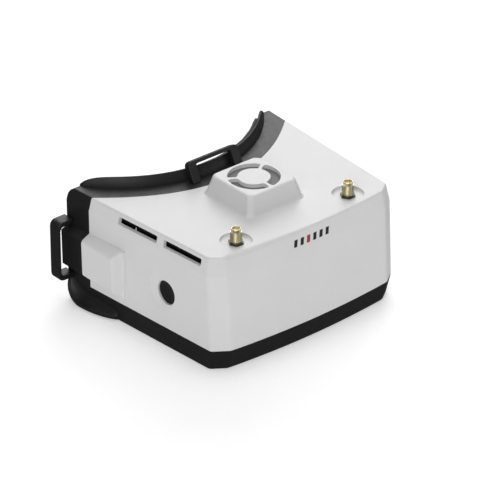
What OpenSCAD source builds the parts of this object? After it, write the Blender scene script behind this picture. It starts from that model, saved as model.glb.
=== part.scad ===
// Box-style video goggles: white housing with a fan tower, black lower tray
// and face frame, two aerial jacks, strap loops, display and eyepiece inside.
// Millimetres. X to the wearer's side, front faces -Y, Z up, base at z = 0.

/* [Housing plan] */
// Half width at the front side corners
front_half_w = 64.2; // [50:0.1:80]
// How much each side widens per millimetre going back
side_taper = 0.0684; // [0:0.001:0.2]
// Half width of the front face between its corner chamfers
face_half_w = 55.4; // [40:0.1:70]
// Depth of the corner chamfer from front face to side face
chamfer_depth = 6.3; // [2:0.1:12]
// Forward bulge of the front face on the centre line
front_bulge = 3.1; // [0:0.1:8]
// Rear edge of the white housing at the sides
side_rear_y = 99.8; // [80:0.1:120]
// Rear edge of the white housing on the centre line
brow_mid_y = 69.2; // [50:0.1:80]
// Curvature of the brow line
brow_curve = 0.00655; // [0.002:0.0001:0.01]

/* [Housing heights] */
// Height of the joint between tray and white housing
split_z = 12.5; // [8:0.1:20]
// Height where the upper band starts at the front
band_z = 56.6; // [50:0.1:64]
// How much the band start rises per millimetre going back
band_tilt = 0.032; // [0:0.001:0.06]
// Height of the flat top
top_z = 67.2; // [55:0.1:80]
// How far the sloping band has come in at the top
band_inset = 2.1; // [0.5:0.1:4]
// How far the front leans back up to the band
front_lean = 2.3; // [0:0.1:6]
// Housing wall thickness
wall = 2.2; // [1.5:0.1:4]
// Inset of the tray underside
tray_inset = 1.2; // [0:0.1:4]
// Lean of the tray front
tray_lean = 2.0; // [0:0.1:5]

/* [Fan tower] */
// Centre of the fan from the front face
fan_y = 46.5; // [30:0.1:60]
// Height of the tower above the flat top
tower_h = 11.1; // [5:0.1:20]
// Half width of the tower top
tower_top_half = 16.5; // [15.8:0.1:20]
// Half width of the tower foot
tower_foot_half = 20.0; // [17:0.1:26]
// Corner chamfer of the tower
tower_chamfer = 2.4; // [1:0.1:5]
// Outer radius of the grille openings
grille_r = 14.4; // [10:0.1:15]
// Radius of the closed disc in the grille
grille_hub_r = 8.9; // [4:0.1:12]
// Width of the grille spokes
spoke_w = 1.4; // [0.8:0.1:4]
// Side of the square fan frame
fan_size = 30; // [25:0.5:40]
// Depth of the fan frame
fan_depth = 10; // [6:0.5:15]

/* [Aerial jacks] */
// Sideways position of each jack
jack_x = 39.25; // [20:0.05:55]
// Position of each jack from the front
jack_y = 15; // [10:0.1:30]
// Radius of the recess around each jack
recess_r = 8.8; // [6:0.1:12]
// Depth of the recess
recess_d = 1.7; // [0.5:0.1:3]
// Radius of the threaded barrel
barrel_r = 3.175; // [2:0.005:5]
// Height of the barrel top above the flat top
barrel_up = 7.4; // [4:0.1:15]

/* [Face frame] */
// Rear edge of the face frame at the temples
frame_rear_y = 117.6; // [105:0.1:130]
// Forehead line on the centre line
lip_mid_y = 79.6; // [70:0.1:90]
// Height of the forehead lip above the flat top
lip_h = 6.0; // [2:0.1:12]
// Backward lean of the lip at its rim
lip_lean = 3.0; // [0:0.1:8]
// Radius of the rounded upper temple corner
temple_r = 4.8; // [2:0.5:20]
// Radius of the rounded lower rear corner
heel_r = 5; // [2:0.5:12]
// Half width of the forehead opening
forehead_half_w = 64.5; // [55:0.1:68]
// Spread of the cheek wing beyond the side
cheek_spread = 6.9; // [1:0.1:10]

/* [Strap loops] */
// Outer half height of a side loop
side_loop_half_h = 18; // [14:0.1:26]
// Height of the side loop centre
side_loop_z = 32.5; // [25:0.1:45]
// Outer face of the side loop bar
side_loop_x = 82.4; // [78:0.1:90]
// Thickness of the side loop
side_loop_t = 1.9; // [1.5:0.1:4]
// Outer half width of the top loop
top_loop_half_w = 17.5; // [12:0.1:24]
// Height of the top loop measured along its lean
top_loop_h = 12.6; // [8:0.1:20]
// Thickness of the top loop
top_loop_t = 4.4; // [3:0.1:6]
// Backward lean of the top loop in degrees
top_loop_lean = 27; // [0:1:45]

/* [Controls] */
// Distance of the menu dial from the front
dial_y = 40.5; // [25:0.5:60]
// Height of the menu dial centre
dial_z = 34; // [25:0.5:50]
// Radius of the hole for the menu dial
dial_hole_r = 7; // [4:0.1:10]
// Radius of the side buttons
button_r = 4.2; // [3:0.1:7]

/* [Optics] */
// Half width of the display module
lcd_half_w = 49; // [40:0.5:54]
// Half height of the display module
lcd_half_h = 27; // [22:0.5:28]
// Height of the optical axis
optic_z = 32; // [28:0.5:36]
// Rear face of the eyepiece lens
lens_rear_y = 63; // [50:0.5:66]
// Radius of the curved lens face
lens_face_r = 350; // [200:10:600]

/* [Hidden] */
$fn = 48;
eps = 0.01;
gap = 0.1;
arc_steps = 24;
far = 400;
tower_top_z = top_z + tower_h;
brow_limit_x = sqrt((side_rear_y - brow_mid_y) / brow_curve);
recess_floor_z = top_z - recess_d;
ceiling_z = top_z - wall;
origin_y = 58.2;
loop_root_x = 71.9;
loop_depth = 7.6;
mark_n = 6;
accent_i = 2;

// ---- plan curves -------------------------------------------------------
function half_w(y) = front_half_w + (y - chamfer_depth) * side_taper;
function brow_y(x) = min(side_rear_y, brow_mid_y + brow_curve * x * x);
function lip_y(x) = lip_mid_y + 0.0064 * x * x + 0.0000004 * pow(x, 4);
function edge_half(d) = face_half_w - 0.321 * d;
function corner_x(d, lean) = front_half_w - 0.965 * d + side_taper * lean;
function corner_y(d, lean) = chamfer_depth + 0.539 * d + lean;
function front_y(t, d, lean) = lean + d - front_bulge * (1 - t * t);
function plan(d, lean, rear) = concat(
    [for (i = [0:arc_steps])
        let (t = -1 + 2 * i / arc_steps) [edge_half(d) * t, front_y(t, d, lean)]],
    [[corner_x(d, lean), corner_y(d, lean)],
     [half_w(rear) - d, rear],
     [-half_w(rear) + d, rear],
     [-corner_x(d, lean), corner_y(d, lean)]]);
function arc_xs(lim) = [for (i = [0:arc_steps]) lim * (-1 + 2 * i / arc_steps)];

// every node is drawn with its front at y = 0 and moved to the middle of the depth
module at_origin() {
    translate([0, -origin_y, 0]) children();
}
module slice(z, d, lean, rear) {
    translate([0, 0, z]) linear_extrude(eps) polygon(plan(d, lean, rear));
}
module tilted_slice(z, d, lean, rear) {
    multmatrix([[1, 0, 0, 0], [0, 1, 0, 0], [0, band_tilt, 1, z]])
        linear_extrude(eps) polygon(plan(d, lean, rear));
}
module behind_brow(off, z0, z1) {
    translate([0, 0, z0]) linear_extrude(z1 - z0)
        polygon(concat([[-far, side_rear_y + off]],
            [for (x = arc_xs(brow_limit_x)) [x, brow_y(x) + off]],
            [[far, side_rear_y + off], [far, far], [-far, far]]));
}
module ahead_of_brow(off, z0, z1) {
    translate([0, 0, z0]) linear_extrude(z1 - z0)
        polygon(concat([[-far, side_rear_y + off]],
            [for (x = arc_xs(brow_limit_x)) [x, brow_y(x) + off]],
            [[far, side_rear_y + off], [far, -far], [-far, -far]]));
}
module behind_lip(off, half, z0, z1) {
    translate([0, 0, z0]) linear_extrude(z1 - z0)
        polygon(concat([for (x = arc_xs(half)) [x, lip_y(x) + off]],
            [[half, far], [-half, far]]));
}
function band_share(z) = band_inset * (z - band_z) / (top_z - band_z);
// housing form above the joint: lower walls, then the band sloping in to the top
module upper_form(d, z0, z1, rear) {
    hull() {
        slice(z0, d, 0, rear);
        tilted_slice(band_z, d, front_lean, rear);
        slice(z1 - eps, d + band_share(z1), front_lean, rear);
    }
}
// both together in one form, from the underside to the height z1
module full_form(d, z1, rear) {
    hull() {
        slice(0, d + tray_inset, tray_lean, rear);
        slice(split_z, d, 0, rear);
        tilted_slice(band_z, d, front_lean, rear);
        slice(z1 - eps, d + band_share(z1), front_lean, rear);
    }
}
module tray_form(d, z0, z1, rear) {
    hull() {
        slice(z0, d + tray_inset, tray_lean, rear);
        slice(z1 - eps, d, 0, rear);
    }
}
// section of the side boss in X and Z, mirrored by s
module boss(s, y0, y1, x_in, out, z_top_out, z_low_out) {
    translate([0, y1, 0]) rotate([90, 0, 0]) linear_extrude(y1 - y0)
        polygon([[s * x_in, 17], [s * 70, 17], [s * (out - 0.3), z_low_out],
                 [s * out, z_top_out], [s * 70, z_top_out + 3], [s * x_in, z_top_out + 3]]);
}

// ---- white housing -----------------------------------------------------
module tower_shape() {
    c1 = tower_chamfer;
    h1 = tower_foot_half;
    h2 = tower_top_half;
    hull() {
        translate([0, fan_y, top_z - 1]) linear_extrude(1)
            polygon([[-h1, -h1 + c1], [-h1 + c1, -h1], [h1 - c1, -h1], [h1, -h1 + c1],
                     [h1, h1 - c1], [h1 - c1, h1], [-h1 + c1, h1], [-h1, h1 - c1]]);
        translate([0, fan_y, tower_top_z - eps]) linear_extrude(eps)
            polygon([[-h2, -h2 + c1], [-h2 + c1, -h2], [h2 - c1, -h2], [h2, -h2 + c1],
                     [h2, h2 - c1], [h2 - c1, h2], [-h2 + c1, h2], [-h2, h2 - c1]]);
    }
}
module grille_cut() {
    for (a = [30, 150, 270])
        translate([0, fan_y, tower_top_z - 4]) rotate([0, 0, a])
            difference() {
                rotate([0, 0, 4]) rotate_extrude(angle = 112)
                    translate([grille_hub_r, 0]) square([grille_r - grille_hub_r, 6]);
                translate([0, -spoke_w / 2, -1]) cube([20, spoke_w, 8]);
            }
}
module vent_cut(s, y0, y1) {
    translate([s > 0 ? 60 : -80, y0, 60.75]) cube([20, y1 - y0, 4.2]);
}
module at_posts() {
    for (s = [-1, 1]) {
        translate([s * 59.8, 19, 0]) children();
        translate([s * 64.6, 88, 0]) children();
    }
}
module shell_posts() {
    at_posts() translate([0, 0, split_z]) cylinder(r = 3.4, h = 14);
}
module button_pegs() {
    for (z = [28.5, 39.5]) translate([58.7, 44, z]) rotate([0, 90, 0])
        cylinder(r = 2, h = 7);
}
module jack_seats() {
    for (s = [-1, 1]) translate([s * jack_x, jack_y, recess_floor_z - wall])
        cylinder(r = recess_r + 1.6, h = wall + recess_d - 0.5);
}
// generic front mark: a row of slanted ticks
function tick_x(i) = -10.5 + i * 4.4;
module mark_tick(i, grow, y0, y1) {
    x = tick_x(i);
    translate([x, y1, 60.9]) rotate([90, 0, 0]) linear_extrude(y1 - y0)
        polygon([[-1.5 - grow, -1.9 - grow], [0.6 + grow, -1.9 - grow],
                 [1.5 + grow, 1.9 + grow], [-0.6 - grow, 1.9 + grow]]);
}
module main_shell() {
    color("white") at_origin() difference() {
        union() {
            difference() {
                union() {
                    upper_form(0, split_z, top_z, 130);
                    tower_shape();
                    for (s = [-1, 1]) hull() {
                        boss(s, 73.5, side_rear_y, 66, 76.3, 43.4, 22.3);
                        boss(s, 71, side_rear_y, 66, 70.5, 43.4, 22.3);
                    }
                }
                upper_form(wall, split_z - 1, ceiling_z, 130);
                behind_brow(0, 0, 100);
            }
            jack_seats();
            shell_posts();
            button_pegs();
        }
        at_posts() translate([0, 0, split_z - 1]) cylinder(r = 1.15, h = 13);
        for (z = [28.5, 39.5]) translate([58, 44, z]) rotate([0, 90, 0])
            cylinder(r = 0.8, h = 6);
        for (s = [-1, 1], z = [28, 38]) translate([s * 72.4, 91, z]) rotate([-90, 0, 0])
            cylinder(r = 1.25, h = 20);
        for (x = [-12, 12], y = [-12, 12]) translate([x, fan_y + y, 74])
            cylinder(r = 0.95, h = 3.5);
        // pocket for the fan and its air passage
        translate([-15.2, fan_y - 15.2, ceiling_z - 1]) cube([30.4, 30.4, 12.1]);
        grille_cut();
        for (s = [-1, 1]) {
            translate([s * jack_x, jack_y, recess_floor_z]) cylinder(r = recess_r, h = 5);
            translate([s * jack_x, jack_y, 50]) cylinder(r = stem_r + 0.3, h = 30);
            vent_cut(s, 14.5, 43);
            vent_cut(s, 48, 77.5);
        }
        translate([-80, dial_y, dial_z]) rotate([0, 90, 0]) cylinder(r = dial_hole_r, h = 30);
        for (y = [36, 52]) translate([50, y, dial_z]) rotate([0, 90, 0])
            cylinder(r = button_r + 0.1, h = 30);
        translate([50, 62, dial_z]) rotate([0, 90, 0]) cylinder(r = 1.1, h = 30);
        for (i = [0:mark_n - 1]) mark_tick(i, 0.06, -1, 6);
    }
}

// ---- lower tray --------------------------------------------------------
module bottom_shell() {
    color("#202022") at_origin() difference() {
        union() {
            difference() {
                tray_form(0, 0, split_z - gap, 130);
                difference() {
                    tray_form(wall, 0, split_z + 1, 130);
                    translate([-far, -far, -far]) cube([2 * far, 2 * far, far + 2.5]);
                }
                behind_brow(0, -1, 30);
            }
            at_posts() cylinder(r = 3.4, h = split_z - gap);
            wings(-far, side_rear_y);
        }
        at_posts() {
            translate([0, 0, -1]) cylinder(r = 1.4, h = 20);
            translate([0, 0, -1]) cylinder(r = 2.7, h = 3);
        }
        translate([58, 30, io_z + 4]) rotate([0, 90, 0]) cylinder(r = 3.2, h = 12);
        translate([58, 46, io_z + 3.5]) rotate([0, 90, 0]) cylinder(r = 2.9, h = 12);
        translate([58, 56.9, io_z + 0.4]) cube([12, 12.2, 4.2]);
    }
}

// ---- black face frame --------------------------------------------------
wing_n = 20;
wing_arc_r = 13.5;
wing_arc_y = 103;
wing_ramp = 8.5;
wing_front_y = 78.5;
function wing_th(i) = 90 * min(1, i / (wing_n * 0.45));
function wing_run(i) = max(0, (i / wing_n - 0.45) / 0.55);
function wing_y(i) = wing_arc_y + wing_arc_r * cos(wing_th(i))
    - wing_run(i) * (wing_arc_y - wing_front_y);
function wing_z(i) = 1 + wing_arc_r - wing_arc_r * sin(wing_th(i));
function wing_out(i) = half_w(min(wing_y(i), frame_rear_y)) - 0.9
    + cheek_spread * pow(max(0, sin(180 * i / wing_n)), 0.55);
function wing_section(s, i) = let (c = cos(wing_th(i)), n = sin(wing_th(i)),
        y = wing_y(i), z = wing_z(i), xi = half_w(y) - 1.7) [
    [s * xi, y - wing_ramp * c, z + wing_ramp * n],
    [s * wing_out(i), y - 2.2 * c, z + 2.2 * n],
    [s * wing_out(i), y, z],
    [s * xi, y, z]];
module strip(rows, flip) {
    m = len(rows[0]);
    n = len(rows);
    pts = [for (r = rows) for (p = r) p];
    side = [for (i = [0:n - 2], j = [0:m - 1])
        [i * m + j, (i + 1) * m + j, (i + 1) * m + (j + 1) % m, i * m + (j + 1) % m]];
    ends = [[for (j = [0:m - 1]) j], [for (j = [m - 1:-1:0]) (n - 1) * m + j]];
    all_faces = concat(side, ends);
    polyhedron(points = pts, convexity = 6,
        faces = flip ? [for (f = all_faces) [for (k = [len(f) - 1:-1:0]) f[k]]] : all_faces);
}
module wings(y0, y1) {
    for (s = [-1, 1]) intersection() {
        strip([for (i = [0:wing_n]) wing_section(s, i)], s > 0);
        translate([-far, y0, -1]) cube([2 * far, y1 - y0, 40]);
    }
}
function lip_x(i, half) = half * sin(80 * (-1 + 2 * i / 32)) / sin(80);
function lip_rise(x) = lip_h * (1 - pow(min(1, abs(x) / 64.8), 18));
function lip_section(x) = let (y = lip_y(x), r = lip_rise(x), l = lip_lean * r / lip_h) [
    [x, y - 0.3, top_z - 1.4],
    [x, y + 0.2 * l, top_z + 0.35 * r],
    [x, y + l, top_z + r],
    [x, y + l + 1.9, top_z + 0.8 * r],
    [x, y + 2.2, top_z - 0.5],
    [x, y + 2.2, top_z - 1.4]];
module temple_trim() {
    // side outline of the frame: rounded upper and lower rear corners
    translate([-far, 0, 0]) rotate([90, 0, 90]) linear_extrude(2 * far)
        polygon(concat([[0, -1], [frame_rear_y - heel_r, -1]],
            [for (a = [0:15:90])
                [frame_rear_y - heel_r + heel_r * sin(a), heel_r - heel_r * cos(a)]],
            [for (a = [0:15:90])
                [frame_rear_y - temple_r + temple_r * cos(a),
                 top_z - temple_r + temple_r * sin(a)]],
            [[0, top_z + 0.01]]));
}
module face_frame() {
    color("#202022") at_origin() difference() {
        union() {
            difference() {
                intersection() {
                    full_form(0, top_z, 130);
                    behind_brow(gap, -1, 100);
                    temple_trim();
                }
                intersection() {
                    full_form(4, top_z - 2.5, 140);
                    translate([-far, 0, 2.5]) cube([2 * far, far, 100]);
                }
                behind_lip(2.6, forehead_half_w, -1, 100);
                translate([0, 88, -1]) cylinder(r = 16, h = 5);
            }
            strip([for (i = [0:32]) lip_section(lip_x(i, 64.4))], true);
            wings(side_rear_y + gap, far);
            for (s = [-1, 1]) boss(s, side_rear_y + gap, 117, 69.3, 76.4, 43.3, 22.4);
        }
        for (s = [-1, 1], z = [28, 38]) {
            translate([s * 72.4, 90, z]) rotate([-90, 0, 0]) cylinder(r = 1.4, h = 40);
            translate([s * 72.4, 108, z]) rotate([-90, 0, 0]) cylinder(r = 2.2, h = 20);
        }
    }
}
function pad_section(x) = let (y = lip_y(x)) [
    [x, y + 2.8, 60], [x, y + 2.8, 66.4], [x, y + 5.4, 71], [x, y + 7.8, 70.4],
    [x, y + 6.2, 65.5], [x, y + 5.8, 60]];
module brow_pad() {
    color("#39393c") at_origin() strip([for (i = [0:24]) pad_section(56 * (-1 + i / 12))], true);
}

// ---- strap loops -------------------------------------------------------
module round_rect(x0, x1, y0, y1, r) {
    translate([x0 + r, y0]) square([x1 - x0 - 2 * r, y1 - y0]);
    translate([x0, y0 + r]) square([x1 - x0, y1 - y0 - 2 * r]);
    for (x = [x0 + r, x1 - r], y = [y0 + r, y1 - r]) translate([x, y]) circle(r = r);
}
module strap_loop_top() {
    w = top_loop_half_w;
    color("#202022") at_origin() difference() {
        translate([0, 75.2, top_z]) rotate([90 - top_loop_lean, 0, 0])
            translate([0, 0, -top_loop_t]) linear_extrude(top_loop_t) difference() {
                round_rect(-w, w, -6, top_loop_h, 3.2);
                round_rect(-w + 5.4, w - 5.4, -9, top_loop_h - 2.3, 1);
            }
        translate([-far, 0, top_z + 0.02 - far]) cube([2 * far, far, far]);
    }
}
module side_loop(s) {
    h = side_loop_half_h;
    t = side_loop_t;
    r = 4.5;
    color("#202022") at_origin() translate([0, 119.5, side_loop_z]) rotate([90, 0, 0])
        linear_extrude(loop_depth) difference() {
            round_rect(s > 0 ? 60 : -side_loop_x, s > 0 ? side_loop_x : -60, -h, h, r);
            round_rect(s > 0 ? 55 : -side_loop_x + t, s > 0 ? side_loop_x - t : -55,
                -h + t + 0.5, h - t - 0.5, r - 1.5);
            translate([-loop_root_x, -30]) square([2 * loop_root_x, 60]);
        }
}
module strap_loop_left() { side_loop(-1); }
module strap_loop_right() { side_loop(1); }

// ---- front mark --------------------------------------------------------
module badge_piece(picks) {
    intersection() {
        for (i = picks) mark_tick(i, 0, -3, 3.9);
        upper_form(-0.06, split_z, top_z, 20);
    }
}
module front_badge() {
    color("#303034") at_origin() union() {
        badge_piece([for (i = [0:mark_n - 1]) if (i != accent_i) i]);
        translate([-13, 3.9, 59.2]) cube([27, 0.8, 3.4]);
    }
}
module badge_accent() {
    color("#c23a2e") at_origin() badge_piece([accent_i]);
}

// ---- aerial jacks ------------------------------------------------------
thread_z = top_z - 0.1;
thread_l = 5.6;
stem_r = 2.9;
coax_r = 0.68;
coax_z = 60.75;
coax_y = 9.3;
module sma_jack(s) {
    color("#c9a95c") at_origin() translate([s * jack_x, jack_y, 0]) difference() {
        union() {
            translate([0, 0, thread_z]) cylinder(r = barrel_r, h = thread_l);
            translate([0, 0, 62]) cylinder(r = stem_r, h = thread_z - 61.9);
            translate([0, 0, 63]) cylinder(r = 2.75, h = top_z + barrel_up - 63);
            translate([0, 0, 61.5]) cylinder(r = 4.6, h = 1.75, $fn = 6);
            translate([0, 0, 60.2]) cylinder(r = 2.2, h = 2);
        }
        translate([0, 0, 62]) cylinder(r = 2.1, h = 20);
    }
}
module sma_nut(s) {
    color("#3a3833") at_origin() translate([s * jack_x, jack_y, recess_floor_z + 0.02]) difference() {
        cylinder(r = 4.3, h = 1.1, $fn = 6);
        translate([0, 0, -1]) cylinder(r = stem_r + 0.02, h = 5);
    }
}
module sma_insulator(s) {
    color("#e6e0d2") at_origin() translate([s * jack_x, jack_y, 62.02]) difference() {
        cylinder(r = 2.07, h = 10.5);
        translate([0, 0, -1]) cylinder(r = 0.66, h = 14);
    }
}
module sma_socket(s) {
    color("#d8b75f") at_origin() translate([s * jack_x, jack_y, 62.04]) difference() {
        cylinder(r = 0.64, h = 11.5);
        translate([0, 0, 6.5]) cylinder(r = 0.42, h = 8);
    }
}
module coax(s) {
    x0 = s * (jack_x - 2.2);
    x1 = s * 31;
    r = 2.2;
    color("#2b2b2e") at_origin() union() {
        translate([min(x0, x1 + s * r), jack_y, coax_z]) rotate([0, 90, 0])
            cylinder(r = coax_r, h = abs(x0 - x1 - s * r));
        translate([x1 + s * r, jack_y - r, coax_z]) rotate([0, 0, s > 0 ? 90 : 0])
            rotate_extrude(angle = 90) translate([r, 0]) circle(r = coax_r);
        translate([x1, coax_y + r, coax_z]) rotate([-90, 0, 0])
            cylinder(r = coax_r, h = jack_y - coax_y - 2 * r);
        translate([x1, coax_y + r, coax_z - r]) rotate([0, -90, 0]) rotate([0, 0, -90])
            rotate_extrude(angle = 90) translate([r, 0]) circle(r = coax_r);
        translate([x1, coax_y, 50.6]) cylinder(r = coax_r, h = coax_z - r - 50.6);
    }
}
module sma_jack_left() { sma_jack(-1); }
module sma_jack_right() { sma_jack(1); }
module sma_nut_left() { sma_nut(-1); }
module sma_nut_right() { sma_nut(1); }
module sma_insulator_left() { sma_insulator(-1); }
module sma_insulator_right() { sma_insulator(1); }
module sma_socket_left() { sma_socket(-1); }
module sma_socket_right() { sma_socket(1); }
module coax_left() { coax(-1); }
module coax_right() { coax(1); }

// ---- fan ---------------------------------------------------------------
fan_z = 65.4;
shaft_r = 0.75;
module fan_frame() {
    color("#26262a") at_origin() translate([0, fan_y, fan_z]) difference() {
        union() {
            difference() {
                translate([-15, -15, 0]) cube([fan_size, fan_size, fan_depth]);
                translate([0, 0, -1]) cylinder(r = 14.2, h = 20);
            }
            cylinder(r = 8, h = 1.2);
            for (a = [45, 165, 285]) rotate([0, 0, a]) translate([6, -1, 0])
                cube([9, 2, 1.2]);
            cylinder(r = 2.6, h = 6);
        }
        translate([0, 0, -1]) cylinder(r = shaft_r + 0.03, h = 12);
        for (x = [-12, 12], y = [-12, 12]) translate([x, y, -1]) cylinder(r = 1.1, h = 14);
    }
}
module fan_blade() {
    intersection() {
        translate([7.6, -4, 5.4]) rotate([38, 0, 0]) translate([0, 0, -0.4])
            cube([8, 9, 0.8]);
        difference() {
            translate([0, 0, 1.8]) cylinder(r = 13.7, h = 7.6);
            cylinder(r = 7.6, h = 12);
        }
    }
}
module fan_rotor() {
    color("#1c1c20") at_origin() translate([0, fan_y, fan_z]) union() {
        difference() {
            translate([0, 0, 1.6]) cylinder(r = 8.2, h = 7.9);
            translate([0, 0, 1]) cylinder(r = 7.2, h = 7.3);
        }
        cylinder(r = shaft_r, h = 9);
        for (i = [0:6]) rotate([0, 0, i * 360 / 7]) fan_blade();
    }
}
module fan_screen() {
    color("#85868a") at_origin() translate([0, fan_y, fan_z + fan_depth + 0.12]) difference() {
        translate([-14.8, -14.8, 0]) cube([29.6, 29.6, 0.4]);
        for (x = [-12, 12], y = [-12, 12]) translate([x, y, -1]) cylinder(r = 1.1, h = 3);
    }
}
module fan_screws() {
    color("#8d8d92") at_origin() for (x = [-12, 12], y = [-12, 12])
        translate([x, fan_y + y, fan_z]) difference() {
            union() {
                translate([0, 0, -1.2]) cylinder(r = 1.9, h = 1.2);
                cylinder(r = 0.92, h = 11);
            }
            translate([0, 0, -1.3]) cylinder(r = 0.8, h = 0.9, $fn = 6);
        }
}

// ---- electronics -------------------------------------------------------
board_y = 6.4;
module at_board_holes() {
    for (x = [-46, 46], z = [optic_z - 20.5, optic_z + 20.5]) translate([x, 0, z])
        rotate([-90, 0, 0]) children();
}
module main_board() {
    color("#1d5a3a") at_origin() difference() {
        translate([-50, board_y, 8]) cube([100, 1.6, 49]);
        at_board_holes() cylinder(r = 1.35, h = 20);
    }
}
module board_chips() {
    color("#18181a") at_origin() union() {
        translate([-8, board_y - 1.4, 24]) cube([16, 1.38, 16]);
        translate([-26, board_y - 1.1, 14]) cube([10, 1.08, 8]);
        translate([-10, board_y - 1.0, 12]) cube([8, 0.98, 6]);
        translate([8, board_y - 1.0, 12]) cube([6, 0.98, 6]);
        translate([20, board_y - 1.6, 12]) cube([7, 1.58, 7]);
        for (i = [0:5]) translate([-38 + i * 4, board_y - 0.6, 25]) cube([2, 0.58, 1.2]);
        for (i = [0:5]) translate([18 + i * 4, board_y - 0.6, 25]) cube([2, 0.58, 1.2]);
    }
}
module board_shields() {
    color("#b9bbbf") at_origin() for (s = [-1, 1]) difference() {
        translate([s * 28 - 13, board_y - 2.6, 31]) cube([26, 2.58, 21]);
        translate([s * 28 - 12.7, board_y - 2.3, 31.3]) cube([25.4, 3, 20.4]);
    }
}
module board_screws() {
    color("#8d8d92") at_origin() union() {
        at_board_holes() difference() {
            union() {
                translate([0, 0, board_y - 1.25]) cylinder(r = 2.2, h = 1.23);
                translate([0, 0, board_y - 0.1]) cylinder(r = 0.98, h = 4);
            }
            translate([0, 0, board_y - 1.4]) cylinder(r = 0.9, h = 0.9, $fn = 6);
        }
        for (z = [28.5, 39.5]) translate([57.38, 44, z]) rotate([0, 90, 0]) union() {
            translate([0, 0, -1]) cylinder(r = 1.7, h = 1);
            translate([0, 0, -0.1]) cylinder(r = 0.78, h = 5.5);
        }
    }
}
module lcd_panel() {
    color("#15171c") at_origin() translate([-lcd_half_w, 11.25, optic_z - lcd_half_h + 0.5])
        cube([2 * lcd_half_w, 2.9, 2 * lcd_half_h - 1]);
}
module lcd_frame() {
    h = 27.8;
    color("#2c2c30") at_origin() difference() {
        union() {
            translate([-52, 10, optic_z - h]) cube([104, 4.2, 2 * h]);
            at_board_holes() translate([0, 0, board_y + 1.62]) cylinder(r = 2.4, h = 2.2);
        }
        translate([-lcd_half_w - 0.1, 11.2, optic_z - 26.6])
            cube([2 * lcd_half_w + 0.2, 5, 53.2]);
        translate([-43, 9, optic_z - 24]) cube([86, 5, 34]);
        translate([-34, 9, 49]) cube([68, 1.3, 20]);
        at_board_holes() cylinder(r = 1, h = 11);
    }
}
module display_ribbon() {
    color("#b98a3c") at_origin() translate([-11, 0, 0]) rotate([90, 0, 90]) linear_extrude(22)
        polygon([[11.2, 16], [11.2, 9.9], [8.7, 9.9], [8.7, 18], [8.05, 18], [8.05, 21],
                 [9, 21], [9, 10.2], [10.9, 10.2], [10.9, 16]]);
}

// ---- optics ------------------------------------------------------------
module optic_tunnel() {
    color("#242428") at_origin() difference() {
        union() {
            translate([-51.5, 14.25, optic_z - 27.8]) cube([103, 80, 55.6]);
            for (x = [-40, 40], y = [24, 54]) translate([x - 4, y - 4, 2.52]) cube([8, 8, 3]);
        }
        translate([-49.7, 10, optic_z - 26]) cube([99.4, 46.5, 52]);
        translate([-46.5, 10, optic_z - 23.5]) cube([93, 90, 47]);
        translate([-49.7, 58, optic_z - 26]) cube([99.4, 90, 52]);
        behind_brow(-3.3, -1, 100);
    }
}
module inner_shroud() {
    color("#1f1f22") at_origin() difference() {
        intersection() {
            full_form(wall + 0.2, ceiling_z - 0.1, 130);
            behind_brow(-3.1, 2.55, 100);
            ahead_of_brow(-1.2, 2.55, 100);
            translate([-far, 0, 2.6]) cube([2 * far, far, 100]);
        }
        translate([-51.6, 0, optic_z - 27.9]) cube([103.2, 120, 55.8]);
        at_posts() cylinder(r = 3.6, h = 60);
    }
}
function lens_sag(r) = lens_face_r - sqrt(lens_face_r * lens_face_r - r * r);
module eye_lens() {
    color("#cfe0ea", 0.5) at_origin() intersection() {
        translate([-49.6, lens_rear_y - 8, optic_z - 25.9]) cube([99.2, 8, 51.8]);
        translate([0, lens_rear_y, optic_z]) rotate([90, 0, 0]) rotate_extrude($fn = 180)
            polygon(concat([[0, 0]], [[60, 0]],
                [for (i = [6:-1:0]) [i * 10, 5.4 - lens_sag(i * 10)]]));
    }
}
module lens_bezel() {
    color("#1b1b1e") at_origin() difference() {
        translate([-49.6, lens_rear_y + 0.05, optic_z - 25.9]) cube([99.2, 1.8, 51.8]);
        translate([-46.5, lens_rear_y - 1, optic_z - 22.9]) cube([93, 5, 45.8]);
    }
}

// ---- menu dial ---------------------------------------------------------
plunger_r = 1.5;
module menu_dial() {
    color("#1c1c1f") at_origin() translate([0, dial_y, dial_z]) difference() {
        union() {
            translate([-65, 0, 0]) rotate([0, 90, 0]) cylinder(r = dial_hole_r - 0.08, h = 3.4);
            translate([-62.6, 0, 0]) rotate([0, 90, 0]) cylinder(r = dial_hole_r + 0.8, h = 1);
        }
        translate([-65 - 17, 0, 0]) sphere(r = 18.3);
        translate([-63.2, 0, 0]) rotate([0, 90, 0]) cylinder(r = plunger_r + 0.04, h = 5);
    }
}
module dial_plunger() {
    color("#8b8d92") at_origin() translate([0, dial_y, dial_z]) union() {
        translate([-63.1, 0, 0]) rotate([0, 90, 0]) cylinder(r = plunger_r, h = 8);
        translate([-61.5, 0, 0]) rotate([0, 90, 0]) cylinder(r = 3, h = 0.9);
    }
}
module dial_encoder() {
    color("#3b3d42") at_origin() translate([0, dial_y, dial_z]) difference() {
        union() {
            translate([-58.4, -6, -6]) cube([5, 12, 12]);
            translate([-53.4, -9, -9]) cube([1.2, 18, 18]);
        }
        translate([-60, 0, 0]) rotate([0, 90, 0]) cylinder(r = plunger_r + 0.05, h = 6.2);
    }
}

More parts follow.
